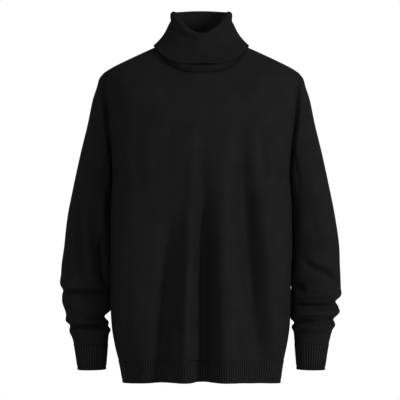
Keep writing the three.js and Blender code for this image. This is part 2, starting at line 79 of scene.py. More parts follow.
# Heights on the body
HEM_BOTTOM = -697
HEM_TOP = -651
ARMPIT_Z = -268
BODY_FULLNESS = 0.035
FRONT_HEM_LIFT = 8
HEM_LIFT_FADE = 260
SHOULDER_TIP = (205, -47)
ARMPIT = (184, ARMPIT_Z)
ARMHOLE_Y = 14
ARMHOLE_FRONT = 48
ARMHOLE_BACK = 52

SIDE_SEAM = (
    ("z", "half_width", "y"),
    (-697, 165, 2),
    (-651, 173, 2),
    (-618, 180, 1),
    (-575, 186, 0),
    (-520, 188, 0),
    (-340, 188, 4),
    (ARMPIT_Z, 184, 14),
)
FRONT_PROFILE = (
    ("z", "y"),
    (-705, -110),
    (-600, -113),
    (-450, -113),
    (-350, -117),
    (-230, -123),
    (-160, -119),
    (-100, -105),
    (-51, -85),
)
BACK_PROFILE = (
    ("z", "y"),
    (-705, 112),
    (-600, 108),
    (-480, 102),
    (-350, 109),
    (-230, 120),
    (-150, 121),
    (-80, 111),
    (-30, 94),
    (6, 72),
)

# From the armpit (0) past the shoulder tip (1) to the neck (2)
TIP_EASE = 1.7  # how much closer the shoulder's rows come together at its tip
YOKE = (
    ("at", "front_z", "back_z", "round", "rise"),
    (0, -268, -268, 1, 1),
    (0.244, -240, -232, 1, 1),
    (0.433, -194, -172, 0.9, 1),
    (0.713, -132, -90, 0.78, 1.05),
    (1, -102, -52, 0.77, 1.12),
    (1.66, -68, -12, 0.9, 1.5),
    (2, -51, 6, 1, 1.8),
)
SHOULDER_SEAM = (
    ("at", "x", "y", "z"),
    (0, 205, 14, -47),
    (0.12, 191, 13, -38),
    (0.5, 148, 9, -17),
    (1, 90, 2, 9),
)
SLEEVE_SECTIONS = (
    ("at", "outer_x", "outer_z", "inner_x", "inner_z", "mid_y", "front", "back"),
    (0, 205, -47, 184, -268, 14, 48, 52),
    (1, 215, -60, 185.1, -273, 16, 53, 56),
    (2, 220, -77, 185.1, -278, 19, 56, 58),
    (3, 228.5, -102, 185.1, -285, 24, 59, 61),
    (4, 240, -155, 185.3, -297, 30, 61, 62),
    (5, 256, -219, 185.5, -320, 37, 61, 62),
    (6, 271, -287, 185.5, -350, 41, 60, 61),
    (7, 284, -352, 184.5, -392, 43, 58, 59),
    (8, 293, -415, 183.5, -438, 43, 56, 57),
    (9, 297, -468, 184.5, -482, 40, 53, 54),
    (10, 294.5, -512, 188, -519, 35, 49, 50),
    (11, 284, -562, 193, -564, 28, 44, 45),
    (12, 269, -618, 197, -618, 20, 36, 37),
    (13, 260, -672, 201, -671, 14, 30, 31),
)
LOOSE_AT = 9
CUFF_AT = 12
CUFF_HEIGHT = 54
SLEEVE_FULLNESS = 0.03

# Upright folds, each on the line from (top_x, top_z) to hem_x at the hem
FOLD_EASE = 0.4  # they die out over this angle before the side seams
FOLD_COLUMNS = ("top_x", "top_z", "hem_x", "grow", "out", "spread")
FRONT_FOLDS = (
    (-62, -340, -82, 240, -10, 21),
    (-22, -290, -38, 260, 9, 16),
    (8, -230, 8, 280, -17, 15),
    (34, -205, 44, 280, 14, 15),
    (74, -190, 128, 200, -9, 17),
    (110, -180, 158, 160, 6, 15),
)
BACK_FOLDS = (
    (-96, -250, -104, 240, -4.5, 18),
    (-52, -280, -60, 260, 5.5, 16),
    (-10, -230, -12, 300, -6, 15),
    (30, -260, 34, 280, 5.5, 16),
    (84, -220, 92, 240, -4.5, 18),
)

# Creases on the panels, from (x, z) to (to_x, to_z): out is a ridge's height, or a trough's depth
# where it is negative, and half its half width. A line that ends far below the hem fades there
# only, so that its crease runs on through the hem's band.
CREASE_COLUMNS = ("x", "z", "to_x", "to_z", "half", "out")
CREASE_FADE = 14  # how far from the other seams they begin
CREASE_FADE_ANGLE = 0.083  # the same distance on the hem's band
FRONT_CREASES = (
    (80, -130, 118, -645, 17, -12.5),
    (124, -260, 146, -645, 14, 5.0),
    (158, -180, 170, -480, 22, 8.0),
    (150, -168, 128, -330, 9, 3.0),
    (164, -232, 146, -420, 8, -2.4),
    (120, -160, 134, -300, 8, -3.4),
    (98, -205, 124, -400, 9, 1.6),
    (-150, -190, -132, -330, 10, 1.6),
    (-166, -240, -152, -430, 9, -1.4),
    (-108, -150, -112, -300, 13, 2.4),
    (-64, -150, -70, -300, 11, -2.0),
    (-150, -110, -156, -645, 30, 10.0),
    (-164, -150, -168, -645, 14, 4.0),
    (-128, -420, -134, -640, 12, 1.8),
    (-63, -310, -100, -840, 17, -12.0),
    (-22, -260, -35, -860, 13, 9.5),
    (2, -215, -1, -875, 13, -12.0),
    (46, -190, 68, -885, 15, 10.0),
    (-150, -480, -156, -648, 8, -1.3),
    (150, -440, 158, -646, 9, 1.8),
    (70, -380, 76, -640, 8, 1.2),
    (-14, -130, -20, -300, 12, 2.8),
    (40, -96, 92, -128, 12, 1.8),
    (-58, -92, -120, -116, 14, -1.6),
    (150, -62, 176, -110, 10, 1.2),
    (-150, -62, -178, -112, 9, 0.9),
)
BACK_CREASES = (
    (-156, -150, -134, -330, 10, 2.2),
    (158, -160, 138, -320, 9, 2.0),
    (-168, -236, -150, -420, 8, -1.8),
    (166, -230, 152, -440, 9, -1.6),
    (-104, -90, -60, -190, 12, 1.2),
    (110, -96, 66, -210, 13, 1.1),
    (-128, -430, -138, -642, 10, 1.7),
    (130, -400, 140, -640, 10, 1.9),
    (-34, -330, -30, -560, 11, 1.4),
    (58, -360, 60, -636, 9, -1.4),
    (0, -22, 4, -70, 14, -0.9),
)

# Bunched cloth above the cuffs
SLEEVE_FOLD_COLUMNS = ("z", "out", "half", "tilt", "side")
RIGHT_SLEEVE_FOLDS = (
    (-430, -3, 34, 20, -0.1),
    (-492, 3, 12, 2, 0),
    (-508, -3, 7, 2, 0.3),
    (-535, 2.5, 14, 3, 0),
    (-558, -12, 9, 3, -0.8),
    (-571, 5, 10, 0, 0.6),
    (-580, -6.5, 6, 2, -0.1),
    (-590, 6, 8, -4, -0.2),
)
LEFT_SLEEVE_FOLDS = (
    (-440, -4, 30, -18, -0.1),
    (-492, -5, 8, 8, -0.6),
    (-517, 2.5, 9, 4, 0),
    (-539, -8, 7, 10, 0.5),
    (-550, 5, 22, 0, -1),
    (-555, 6, 8, 4, 0.2),
    (-570, -4, 5, 4, 0),
    (-582, 3.5, 6, 2, 0),
)

# Creases on the sleeves, from one height and place round the sleeve to another. The place is in
# degrees from the outer side, 90 at the front, 180 next to the body and 270 at the back.
SLEEVE_CREASE_COLUMNS = ("turn", "z", "to_turn", "to_z", "half", "out")
RIGHT_SLEEVE_CREASES = (
    (180, -262, 180, -312, 22, 1.6),
    (130, -150, 108, -310, 10, -2.6),
    (60, -190, 84, -330, 12, 2.0),
    (112, -280, 126, -404, 12, 6.0),
    (46, -310, 80, -484, 8, -10.0),
    (78, -330, 106, -494, 9, 8.0),
    (118, -390, 136, -506, 9, -8.0),
    (14, -350, 26, -480, 9, -3.6),
    (24, -498, 150, -498, 5, 3.6),
    (10, -507, 152, -508, 3.4, -6.8),
    (16, -526, 60, -544, 7, -2.4),
    (100, -520, 70, -556, 8, 1.8),
    (14, -570, 150, -568, 4.5, 4.0),
    (4, -582, 158, -578, 3.4, -7.0),
    (30, -594, 96, -600, 6, -1.8),
    (84, -604, 60, -616, 5, 1.4),
    (300, -300, 280, -450, 11, -4.2),
    (240, -280, 262, -420, 12, 2.6),
    (226, -360, 240, -480, 9, -3.6),
    (212, -500, 330, -494, 5, 2.6),
    (206, -510, 340, -504, 3.6, -4.4),
    (230, -540, 300, -548, 7, 2.6),
    (216, -580, 336, -574, 3.6, -4.4),
    (270, -596, 330, -606, 6, -1.8),
)
LEFT_SLEEVE_CREASES = (
    (180, -262, 180, -312, 22, 1.6),
    (128, -140, 116, -310, 10, -2.8),
    (64, -190, 84, -330, 12, 1.8),
    (96, -320, 78, -430, 11, -1.8),
    (112, -430, 40, -468, 9, 4.2),
    (122, -446, 26, -490, 7, -9.0),
    (152, -484, 114, -512, 7, -5.0),
    (152, -523, 40, -508, 5.5, 6.4),
    (156, -534, 10, -541, 4.2, -8.6),
    (152, -556, 56, -551, 5, 5.0),
    (150, -569, 96, -570, 4, -4.6),
    (60, -562, 20, -572, 5, -3.0),
    (124, -590, 36, -583, 6, 2.8),
    (110, -604, 50, -598, 5, -1.6),
    (300, -280, 282, -430, 12, 2.6),
    (244, -300, 260, -440, 10, -3.6),
    (236, -470, 318, -492, 6.5, -5.4),
    (210, -520, 320, -508, 5, 3.8),
    (206, -534, 344, -542, 4.2, -5.2),
    (214, -558, 300, -552, 5, 3.0),
    (236, -570, 270, -572, 4.5, -3.0),
    (250, -592, 330, -584, 6, 2.4),
)

# The collar
FOLD_HALF_WIDTH = 53
FOLD_FRONT_Y = -55
FOLD_BACK_Y = 55
FOLD_FRONT_Z = 24
FOLD_SIDE_Z = 73
FOLD_BACK_Z = 80
COLLAR_LEAN = 1.7
ROLL_GAP = 9.5  # between the two layers at the fold, which is a soft roll
COLLAR_GAP = 4.5  # between the two layers at the free edge
ROLL_FADE = 0.8  # share of the turned cloth over which the gap narrows
COLLAR_FLARE = 3
FREE_EDGE_FRONT = 0.23
FREE_EDGE_SIDE = -0.02
FREE_EDGE_BACK = 0.15
STAND_ROWS = 22
FOLD_ROWS = 10
TURNED_ROWS = 22
NECK_ROLL = 7.5  # the stand swells just above its seam
NECK_ROLL_AT = 0.115
NECK_ROLL_SPREAD = 0.065
UNDER_ROLL = 2.4  # the turned cloth draws in just below its rolled fold
UNDER_ROLL_AT = 0.2
UNDER_ROLL_SPREAD = 0.09
COLLAR_RIBS_FROM = 0.1  # the ribs rise out of the smooth roll over this share of the cloth

# The camera and the studio
PHOTO_MM_BY_PIXEL = 2.1
PHOTO_SIDE_PIXELS = 400
EYE_X = -2.7
EYE_Z = -315
EYE_DISTANCE = 4200
SENSOR = 36
FLOOR_Z = -1450
FLOOR_RADIUS = 2600
CONTRAST_GAMMA = 0.78  # the photograph's deeper shadows, with its white kept


def mix(a, b, t):
    return a + (b - a) * t


def smooth(t):
    t = np.clip(t, 0, 1)
    return t * t * (3 - 2 * t)


def unit(vectors):
    return vectors / np.maximum(np.linalg.norm(vectors, axis=-1, keepdims=True), 1e-9)


def named_rows(columns, rows):
    return [dict(zip(columns, row)) for row in rows]


def curve_through(at, value):
    """A curve through values that never overshoots them between two places."""
    slope = [(value[i + 1] - value[i]) / (at[i + 1] - at[i]) for i in range(len(at) - 1)]
    tangent = [slope[0]]
    for i in range(1, len(at) - 1):
        before, after = at[i] - at[i - 1], at[i + 1] - at[i]
        near, far = 2 * after + before, after + 2 * before
        flat = slope[i - 1] * slope[i] <= 0
        tangent.append(0 if flat else (near + far) / (near / slope[i - 1] + far / slope[i]))
    tangent.append(slope[-1])

    def read(t):
        i = 0
        while i < len(at) - 2 and t > at[i + 1]:
            i += 1
        step = at[i + 1] - at[i]
        s = min(1, max(0, (t - at[i]) / step))
        return (
            (2 * s**3 - 3 * s**2 + 1) * value[i]
            + (s**3 - 2 * s**2 + s) * step * tangent[i]
            + (3 * s**2 - 2 * s**3) * value[i + 1]
            + (s**3 - s**2) * step * tangent[i + 1]
        )

    return read


def table_reader(table):
    """The columns of a table as curves, read together at one place in its first column."""
    columns, rows = table[0], table[1:]
    places = [row[0] for row in rows]
    curves = {
        column: curve_through(places, [row[k] for row in rows])
        for k, column in enumerate(columns)
        if k
    }
    return lambda t: {column: curve(t) for column, curve in curves.items()}


side_seam = table_reader(SIDE_SEAM)
profile = {"front": table_reader(FRONT_PROFILE), "back": table_reader(BACK_PROFILE)}
yoke = table_reader(YOKE)
shoulder_seam = table_reader(SHOULDER_SEAM)
sleeve_section = table_reader(SLEEVE_SECTIONS)


def body_row(side, station):
    """A row's edge and middle, how far round the body's section its edge lies, and its form."""
    if station <= 1:
        z = mix(HEM_TOP, HEM_BOTTOM if station < 0 else ARMPIT_Z, abs(station))
        seam = side_seam(z)
        lift = FRONT_HEM_LIFT * (1 - smooth((z - HEM_BOTTOM) / HEM_LIFT_FADE))
        mid_z = z + (lift if side == "front" else 0)
        edge = (seam["half_width"], seam["y"], z)
        return edge, (profile[side](mid_z)["y"], mid_z), QUARTER, 1, 1
    row = yoke(station - 1)
    mid_z = row[side + "_z"]
    mid_y = profile[side](mid_z)["y"]
    if station <= 2:
        angle = math.pi * (1 - float(smooth(station - 1)))
        depth = -ARMHOLE_FRONT if side == "front" else ARMHOLE_BACK
        high = (1 + math.cos(angle)) / 2
        y = ARMHOLE_Y + depth * math.sin(angle)
        edge = (mix(ARMPIT[0], SHOULDER_TIP[0], high), y, mix(ARMPIT[1], SHOULDER_TIP[1], high))
        reach = math.acos((y - ARMHOLE_Y) / (mid_y - ARMHOLE_Y))
        return edge, (mid_y, mid_z), reach, row["round"], row["rise"]
    seam = shoulder_seam((station - 2) ** TIP_EASE)
    return (seam["x"], seam["y"], seam["z"]), (mid_y, mid_z), QUARTER, row["round"], row["rise"]


def body_points(side, station, angle):
    """The points of one row without folds, at angles from the right edge to the left."""
    edge, (mid_y, mid_z), reach, roundness, rise = body_row(side, station)
    share = angle / QUARTER
    turn = share * reach
    full = 1 + BODY_FULLNESS * np.sin(2 * angle) ** 2
    across = mix(share, np.sin(turn) / math.sin(reach), roundness) * full
    away = (1 - np.cos(turn)) / (1 - math.cos(reach))
    towards_mid = (1 - mix(share * share, away, roundness)) * full
    up = np.abs(np.sin(angle)) ** (2 * rise)
    x = edge[0] * across
    y = mix(edge[1], mid_y, towards_mid)
    return np.stack([x, y, mix(mid_z, edge[2], up)], axis=-1)


def folded_row(side, row, angle):
    """A row of the body moved out, level, by its upright folds."""
    ease = smooth((QUARTER - np.abs(angle)) / FOLD_EASE)
    height = ease * fold_height(FRONT_FOLDS if side == "front" else BACK_FOLDS, row[:, 0], row[:, 2])
    run = np.gradient(row, axis=0)
    sign = 1 if side == "front" else -1
    out = unit(np.stack([run[:, 1], -run[:, 0], 0 * height], axis=-1))
    return row + out * (sign * height)[:, None]


def fold_height(folds, x, z):
    height = np.zeros_like(x)
    for fold in named_rows(FOLD_COLUMNS, folds):
        down = np.clip((fold["top_z"] - z) / (fold["top_z"] - HEM_BOTTOM), 0, 1)
        line = mix(fold["top_x"], fold["hem_x"], down)
        size = smooth((fold["top_z"] - z) / fold["grow"])
        height += fold["out"] * size * np.exp(-(((x - line) / fold["spread"]) ** 2))
    return height


def crease_height(x, z, start, end, half, out):
    """A crease that fades towards both ends of its line."""
    along = np.array([end[0] - start[0], end[1] - start[1]], float)
    length = np.linalg.norm(along)
    along /= length
    run = ((x - start[0]) * along[0] + (z - start[1]) * along[1]) / length
    off = (x - start[0]) * along[1] - (z - start[1]) * along[0]
    fade = smooth(run / 0.35 + 0.2) * smooth((1 - run) / 0.35 + 0.2)
    return out * fade * np.exp(-((off / half) ** 2))


def creases_on(side, points):
    """How far the creases of the front or the back move each point out."""
    x, z = points[..., 0], points[..., 2]
    height = np.zeros_like(x)
    for crease in named_rows(CREASE_COLUMNS, FRONT_CREASES if side == "front" else BACK_CREASES):
        start, end = (crease["x"], crease["z"]), (crease["to_x"], crease["to_z"])
        height += crease_height(x, z, start, end, crease["half"], crease["out"])
    return height


def surface_normals(points, closed, outward_from):
    """The direction that a grid of points faces, turned away from a line inside it."""
    across = np.gradient(points, axis=1)
    if closed:
        across = (np.roll(points, -1, axis=1) - np.roll(points, 1, axis=1)) / 2
    normals = unit(np.cross(across, np.gradient(points, axis=0)))
    away = np.sum(normals * (points - outward_from), axis=(0, 1, 2))
    return normals if away > 0 else -normals


def distance_along(points, axis):
    steps = np.linalg.norm(np.diff(points, axis=axis), axis=-1)
    start = np.zeros_like(np.take(steps, [0], axis=axis))
    return np.concatenate([start, np.cumsum(steps, axis=axis)], axis=axis)


def near_seams(points, rows_too=True, columns_too=True):
    """Distance in millimetres from the nearest edge of a grid."""
    nearest = np.full(points.shape[:2], 1e9)
    for axis, wanted in ((0, rows_too), (1, columns_too)):
        if wanted:
            run = distance_along(points, axis)
            total = np.take(run, [-1], axis=axis)
            nearest = np.minimum(nearest, np.minimum(run, total - run))
    return nearest


def seam_dip(distance):
    return -SEAM_DIP * np.exp(-((distance / SEAM_DIP_REACH) ** 2))


def armhole_dip(distance, angle):
    """How far back the front's cloth sinks beside the armhole, at this angle round it."""
    return ARMHOLE_DIP * np.sin(angle) ** 2 * np.exp(-((distance / ARMHOLE_DIP_REACH) ** 2))


def neck_dip(distance):
    return -NECK_DIP * np.exp(-((distance / NECK_DIP_REACH) ** 2))


def shares(count):
    """Even shares from 0 to 1, with a few more close to both ends."""
    extra = [*SEAM_SHARES, *(1 - share for share in SEAM_SHARES)]
    return np.array(sorted([*np.linspace(0, 1, count + 1), *extra]))


def rounded_over(points, row, reach, rounds):
    """Rounds the cloth over one row of a grid, over as many rows to each side as reach says,
    and leaves its edges where they are."""
    from_row = np.abs(np.arange(len(points)) - row)[:, None, None]
    from_edge = near_seams(points, rows_too=False)[..., None]
    share = 0.5 * smooth(1 - from_row / reach) * smooth(from_edge / 24)
    for _ in range(rounds):
        between = (np.roll(points, 1, axis=0) + np.roll(points, -1, axis=0)) / 2
        points = points + share * (between - points)
    return points


def panel_points(side):
    angle = (shares(PANEL_COLUMNS) * 2 - 1) * QUARTER
    stations = [
        *shares(SIDE_ROWS)[:-1],
        *(1.5 - np.sin(np.arcsin(1 - 2 * np.linspace(0, 1, ARM_ROWS + 1)[:-1]) / 3)),
        *(2 + shares(SHOULDER_ROWS)[len(SEAM_SHARES) + 1 :]),
    ]
    points = np.array([body_points(side, station, angle) for station in stations])
    tip = len(shares(SIDE_ROWS)) - 1 + ARM_ROWS
    points = rounded_over(points, tip, TIP_ROUND_ROWS, TIP_ROUND_ROUNDS)
    run = distance_along(points, 0)
    from_side = near_seams(points, rows_too=False)
    round_armhole = math.pi * (1 - smooth(np.array(stations) - 1))[:, None]
    points[..., 1] += armhole_dip(from_side, round_armhole) * (1 if side == "front" else -1)
    fade = smooth(np.minimum(from_side, run[-1] - run) / CREASE_FADE)
    height = creases_on(side, points) * fade + seam_dip(near_seams(points, columns_too=False))
    height += SIDE_DIP * seam_dip(from_side) + neck_dip(run[-1] - run)
    normals = surface_normals(points, False, np.array([0, 0, ARMPIT_Z]))
    folded = [folded_row(side, row, angle) for row in points]
    return np.array(folded) + normals * height[..., None], normals


def cast_on_edge(from_edge):
    """The groove above a band's rounded cast-on edge, by the distance from that edge."""
    return -EDGE_GROOVE * np.exp(-(((from_edge - EDGE_GROOVE_AT) / EDGE_GROOVE_REACH) ** 2))


def band_shares(count, height):
    """Even shares down a band from 0 to 1, with more where its edge's groove is."""
    groove = 1 - np.arange(1, 6) * EDGE_GROOVE_AT / 4 / height
    return np.array(sorted([*np.linspace(0, 1, count + 1), *groove]))


def evenly_round(ring):
    """The same closed ring with its points at even distances, which keeps its ribs equally wide."""
    closed = np.concatenate([ring, ring[:1]])
    run = distance_along(closed, 0)
    places = np.linspace(0, run[-1], len(ring), endpoint=False)
    return np.stack([np.interp(places, run, closed[:, k]) for k in range(3)], -1)


def hem_points():
    angles = np.linspace(-QUARTER, QUARTER, HEM_RIBS * POINTS_BY_RIB // 2 + 1)
    rows = []
    height = HEM_TOP - HEM_BOTTOM
    for share in band_shares(14, height):
        plain = {side: body_points(side, -share, angles) for side in ("front", "back")}
        fade = smooth((QUARTER - np.abs(angles)) / CREASE_FADE_ANGLE)
        out = {side: (creases_on(side, plain[side]) * fade)[:, None] for side in plain}
        front = folded_row("front", plain["front"], angles)
        back = folded_row("back", plain["back"], angles)
        row = np.concatenate([front[:-1], back[::-1][:-1]])
        run = np.roll(row, -1, axis=0) - np.roll(row, 1, axis=0)
        outward = unit(np.stack([run[:, 1], -run[:, 0], 0 * run[:, 0]], -1))
        creased = np.concatenate([out["front"][:-1], out["back"][::-1][:-1]])
        ring = row + outward * (creased + cast_on_edge((1 - share) * height))
        rows.append(evenly_round(ring))
    return np.array(rows)


def sleeve_points(sign, folds, creases, stations, angle):
    """Rings of a sleeve, with its bunched folds and its creases."""
    rows = []
    for at in stations:
        section = sleeve_section(at)
        full = 1 + SLEEVE_FULLNESS * np.sin(2 * angle) ** 2 * smooth(at / 4)
        high = (1 + np.cos(angle) * full) / 2
        depth = np.where(np.sin(angle) > 0, -section["front"], section["back"])
        x = mix(section["inner_x"], section["outer_x"], high)
        y = section["mid_y"] + np.abs(np.sin(angle)) * depth * full
        z = mix(section["inner_z"], section["outer_z"], high)
        height = np.zeros_like(x)
        for fold in named_rows(SLEEVE_FOLD_COLUMNS, folds):
            off = (z - fold["z"] - fold["tilt"] * np.cos(angle)) / fold["half"]
            depth_here = ((1 + fold["side"] * np.cos(angle)) / (1 + abs(fold["side"]))) ** 2
            height += fold["out"] * depth_here * np.exp(-off * off)
        girth = math.pi * (section["front"] + section["back"])
        place = np.degrees(angle) % 360 / 360 * girth
        for crease in named_rows(SLEEVE_CREASE_COLUMNS, creases):
            start = (crease["turn"] / 360 * girth, crease["z"])
            end = (crease["to_turn"] / 360 * girth, crease["to_z"])
            height += crease_height(place, z, start, end, crease["half"], crease["out"])
        half_width = (section["outer_x"] - section["inner_x"]) / 2
        out = unit(np.stack([np.cos(angle) / half_width, -np.sin(angle) / np.abs(depth), 0 * x], -1))
        rows.append((np.stack([x, y, z], -1) + out * height[:, None]) * [sign, 1, 1])
    return np.array(rows)


def collar_rows():
    """The collar's cloth from its seam over its fold to its free edge, along its middle."""
    half = COLLAR_RIBS * POINTS_BY_RIB // 2
    angles = np.linspace(-QUARTER, QUARTER, half + 1)
    front = body_points("front", 3, angles)[:-1]
    back = body_points("back", 3, angles)[::-1][:-1]
    base = np.concatenate([front, back])
    angle = np.concatenate([angles[:-1], angles[::-1][:-1]])
    is_front = np.arange(len(angle)) < half
    share = np.sin(angle) ** 2
    fold_y = np.where(is_front, FOLD_FRONT_Y, FOLD_BACK_Y) * np.cos(angle)
    fold_z = mix(np.where(is_front, FOLD_FRONT_Z, FOLD_BACK_Z), FOLD_SIDE_Z, share)

    free_edge = mix(np.where(is_front, FREE_EDGE_FRONT, FREE_EDGE_BACK), FREE_EDGE_SIDE, share)

    def stand(level):
        lean = 1 - (1 - level) ** COLLAR_LEAN
        x = mix(base[:, 0], FOLD_HALF_WIDTH * np.sin(angle), lean)
        return np.stack([x, mix(base[:, 1], fold_y, lean), mix(base[:, 2], fold_z, level)], -1)

    levels = np.linspace(0, 1, STAND_ROWS + 1)
    upright = np.array([stand(level) for level in levels])
    facing = surface_normals(upright, True, np.array([0, 0, 0]))
    roll = NECK_ROLL * np.exp(-(((levels - NECK_ROLL_AT) / NECK_ROLL_SPREAD) ** 2))
    height = roll[:, None] + neck_dip(distance_along(upright, 0))
    rows = list(upright + facing * (height - WALL / 2)[..., None])
    outward = facing[-1]
    up = unit(upright[-1] - upright[-2])
    centre = upright[-1] + outward * ROLL_GAP / 2
    radius = (ROLL_GAP + WALL) / 2
    for k in range(1, FOLD_ROWS):
        turn = math.pi * k / FOLD_ROWS
        rows.append(centre - outward * radius * math.cos(turn) + up * radius * math.sin(turn))
    for down in np.linspace(0, 1, TURNED_ROWS + 1):
        ring = stand(mix(1, free_edge, down))
        run = np.roll(ring, -1, axis=0) - np.roll(ring, 1, axis=0)
        level_out = unit(np.stack([run[:, 1], -run[:, 0], 0 * run[:, 0]], -1))
        out = unit(mix(outward, level_out, down))
        gap = mix(ROLL_GAP, COLLAR_GAP, smooth(down / ROLL_FADE))
        gap -= UNDER_ROLL * math.exp(-(((down - UNDER_ROLL_AT) / UNDER_ROLL_SPREAD) ** 2))
        rows.append(ring + out * (gap + COLLAR_FLARE * down**2 + WALL / 2))
    return np.array(rows)


def grid_object(name, points, closed, facing=None):
    """A sheet as a mesh: a grid of points with its own length and width as UV, in millimetres."""
    rows, columns = points.shape[:2]
    last = columns if closed else columns - 1
    j, i = np.meshgrid(np.arange(rows - 1), np.arange(last), indexing="ij")
    after = (i + 1) % columns
    corners = [j * columns + i, j * columns + after, (j + 1) * columns + after, (j + 1) * columns + i]
    faces = np.stack(corners, -1).reshape(-1, 4)
    wrapped = np.concatenate([points, points[:, :1]], axis=1) if closed else points
    u = distance_along(wrapped, 1)
    v = distance_along(wrapped, 0)
    where = [(j, i), (j, i + 1), (j + 1, i + 1), (j + 1, i)]
    uv = np.stack([np.stack([u[a, b], v[a, b]], -1) for a, b in where], axis=2).reshape(-1, 4, 2)
    centre = points.mean(axis=1, keepdims=True)
    first = points.reshape(-1, 3)
    normal = np.cross(first[faces[:, 2]] - first[faces[:, 0]], first[faces[:, 3]] - first[faces[:, 1]])
    outward = (points - centre) if facing is None else facing
    at_face = outward.reshape(-1, 3)[faces[:, 0]]
    if np.sum(normal * at_face) < 0:
        faces, uv = faces[:, ::-1], uv[:, ::-1]
    mesh = bpy.data.meshes.new(name)
    mesh.from_pydata((first * MM).tolist(), [], faces.tolist())
    layer = mesh.uv_layers.new(name="cloth_mm")
    layer.data.foreach_set("uv", np.ascontiguousarray(uv, np.float32).ravel())
    around = np.tile(np.arange(columns) / columns, rows)
    attribute = mesh.attributes.new("around", "FLOAT", "POINT")
    attribute.data.foreach_set("value", around.astype(np.float32))
    up_share = np.repeat(np.arange(rows) / (rows - 1), columns)
    attribute = mesh.attributes.new("up_share", "FLOAT", "POINT")
    attribute.data.foreach_set("value", up_share.astype(np.float32))
    mesh.polygons.foreach_set("use_smooth", np.ones(len(faces), bool))
    mesh.update()
    made = bpy.data.objects.new(name, mesh)
    bpy.context.scene.collection.objects.link(made)
    return made


def add(tree, kind, inputs=None, **settings):
    """Adds a node, with its settings, values and links."""
    made = tree.nodes.new(kind)
    for key, value in settings.items():
        setattr(made, key, value)
    for key, value in (inputs or {}).items():
        if isinstance(value, bpy.types.NodeSocket):
            tree.links.new(value, made.inputs[key])
        else:
            made.inputs[key].default_value = value
    return made


def geometry_tree(name, sockets):
    """An empty node tree with named inputs, and its input and output nodes."""
    tree = bpy.data.node_groups.new(name, "GeometryNodeTree")
    tree.interface.new_socket("Geometry", in_out="INPUT", socket_type="NodeSocketGeometry")
    for socket, kind in sockets:
        tree.interface.new_socket(socket, in_out="INPUT", socket_type=kind)
    tree.interface.new_socket("Geometry", in_out="OUTPUT", socket_type="NodeSocketGeometry")
    return tree, tree.nodes.new("NodeGroupInput"), tree.nodes.new("NodeGroupOutput")


def use_tree(piece, tree, values):
    """Gives a piece the tree as a modifier, with its inputs set by their identifiers."""
    modifier = piece.modifiers.new(tree.name, "NODES")
    modifier.node_group = tree
    for item in tree.interface.items_tree:
        if item.item_type == "SOCKET" and item.in_out == "INPUT" and item.name in values:
            modifier[item.identifier] = values[item.name]
    return modifier


def rib_tree():
    """Raises ribs on a ring of cloth: rounded wales with a narrow groove between them."""
    tree, given, out = geometry_tree(
        "raised_ribs",
        [
            ("Ribs", "NodeSocketFloat"),
            ("Rise", "NodeSocketFloat"),
            ("From", "NodeSocketFloat"),
            ("Material", "NodeSocketMaterial"),
        ],
    )
    place = add(tree, "GeometryNodeInputNamedAttribute", {"Name": "around"}, data_type="FLOAT")
    turns = add(tree, "ShaderNodeMath", {0: place.outputs[0], 1: given.outputs["Ribs"]}, operation="MULTIPLY")
    phase = add(tree, "ShaderNodeMath", {0: turns.outputs[0], 1: math.pi}, operation="MULTIPLY")
    wave = add(tree, "ShaderNodeMath", {0: phase.outputs[0]}, operation="COSINE")
    groove = add(tree, "ShaderNodeMath", {0: wave.outputs[0]}, operation="ABSOLUTE")
    wale = add(tree, "ShaderNodeMath", {0: groove.outputs[0], 1: 0.6}, operation="SUBTRACT")
    up = add(tree, "GeometryNodeInputNamedAttribute", {"Name": "up_share"}, data_type="FLOAT")
    full = add(
        tree,
        "ShaderNodeMapRange",
        {"Value": up.outputs[0], "From Min": given.outputs["From"], "From Max": 0.16},
        interpolation_type="SMOOTHSTEP",
    )
    faded = add(tree, "ShaderNodeMath", {0: wale.outputs[0], 1: full.outputs[0]}, operation="MULTIPLY")
    height = add(
        tree,
        "ShaderNodeMath",
        {0: faded.outputs[0], 1: given.outputs["Rise"]},
        operation="MULTIPLY",
    )
    # The wale's height is kept for the rib material, which paints shade into the grooves with it.
    depth = add(
        tree,
        "GeometryNodeStoreNamedAttribute",
        {"Geometry": given.outputs["Geometry"], "Name": "wale_height", "Value": faded.outputs[0]},
        data_type="FLOAT",
        domain="POINT",
    )
    normal = add(tree, "GeometryNodeInputNormal")
    offset = add(
        tree,
        "ShaderNodeVectorMath",
        {0: normal.outputs[0], "Scale": height.outputs[0]},
        operation="SCALE",
    )
    moved = add(
        tree,
        "GeometryNodeSetPosition",
        {"Geometry": depth.outputs[0], "Offset": offset.outputs[0]},
    )
    real = add(tree, "GeometryNodeRealizeInstances", {"Geometry": moved.outputs[0]})
    painted = add(
        tree,
        "GeometryNodeSetMaterial",
        {"Geometry": real.outputs[0], "Material": given.outputs["Material"]},
    )
    tree.links.new(painted.outputs[0], out.inputs[0])
    return tree


